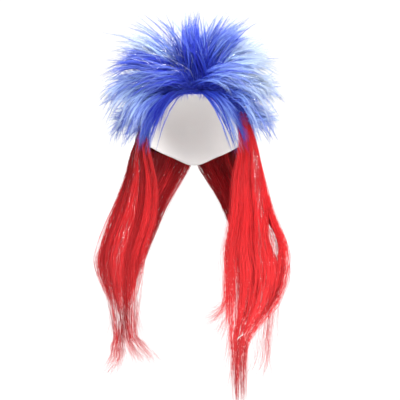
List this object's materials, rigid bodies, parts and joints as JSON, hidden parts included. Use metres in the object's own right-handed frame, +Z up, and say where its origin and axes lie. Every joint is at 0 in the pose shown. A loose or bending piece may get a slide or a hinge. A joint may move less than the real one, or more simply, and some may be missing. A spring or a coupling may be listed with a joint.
{
  "type": "long mullet wig",
  "caption": "Long straight costume wig in two colours: a hollow cap with a teased, spiked blue crown and long straight red hair drawn forward over both shoulders.",
  "frame": {"origin": "inside of the cap at its highest point, where the wearer's crown touches it", "axes": "+Z up, the face opening looks along -Y, +X to the right as seen from the front"},
  "size_m": [0.3113, 0.2936, 0.6364],
  "materials": {
    "cap_net": "plain pale elastic net",
    "blue_fibre": "glossy synthetic hair, royal blue at the roots and pale blue at the tips",
    "red_fibre": "glossy synthetic hair, bright red with darker under-layers"
  },
  "bodies": {
    "root": {"cap": "cap_net", "crown_pile": "blue_fibre", "fall_front_left": "red_fibre", "fall_front_right": "red_fibre", "fall_nape_left": "red_fibre", "fall_nape_right": "red_fibre", "tail_left_outer": "red_fibre", "tail_left_inner": "red_fibre", "tail_right_outer": "red_fibre", "spike_temple_left": "blue_fibre", "spike_temple_right": "blue_fibre", "spike_brow_left": "blue_fibre", "spike_brow_centre": "blue_fibre", "spike_brow_right": "blue_fibre", "spike_left_1": "blue_fibre", "spike_left_2": "blue_fibre", "spike_left_3": "blue_fibre", "spike_left_4": "blue_fibre", "spike_left_5": "blue_fibre", "spike_left_6": "blue_fibre", "spike_left_7": "blue_fibre", "spike_right_1": "blue_fibre", "spike_right_2": "blue_fibre", "spike_right_3": "blue_fibre", "spike_right_4": "blue_fibre", "spike_right_5": "blue_fibre", "spike_right_6": "blue_fibre", "spike_right_7": "blue_fibre", "spike_top_left": "blue_fibre", "spike_top_centre": "blue_fibre", "spike_top_right": "blue_fibre", "spike_top_back_left": "blue_fibre", "spike_top_back_right": "blue_fibre", "spike_crown_left": "blue_fibre", "spike_crown_centre": "blue_fibre", "spike_crown_right": "blue_fibre", "spike_side_left": "blue_fibre", "spike_side_right": "blue_fibre", "spike_back_left_1": "blue_fibre", "spike_back_left_2": "blue_fibre", "spike_back_centre_1": "blue_fibre", "spike_back_right_2": "blue_fibre", "spike_back_right_1": "blue_fibre", "spike_back_left_3": "blue_fibre", "spike_back_left_4": "blue_fibre", "spike_back_centre_2": "blue_fibre", "spike_back_right_4": "blue_fibre", "spike_back_right_3": "blue_fibre", "spike_low_left_1": "blue_fibre", "spike_low_left_2": "blue_fibre", "spike_low_centre_left": "blue_fibre", "spike_low_centre_right": "blue_fibre", "spike_low_right_2": "blue_fibre", "spike_low_right_1": "blue_fibre"}
  },
  "joints": []
}
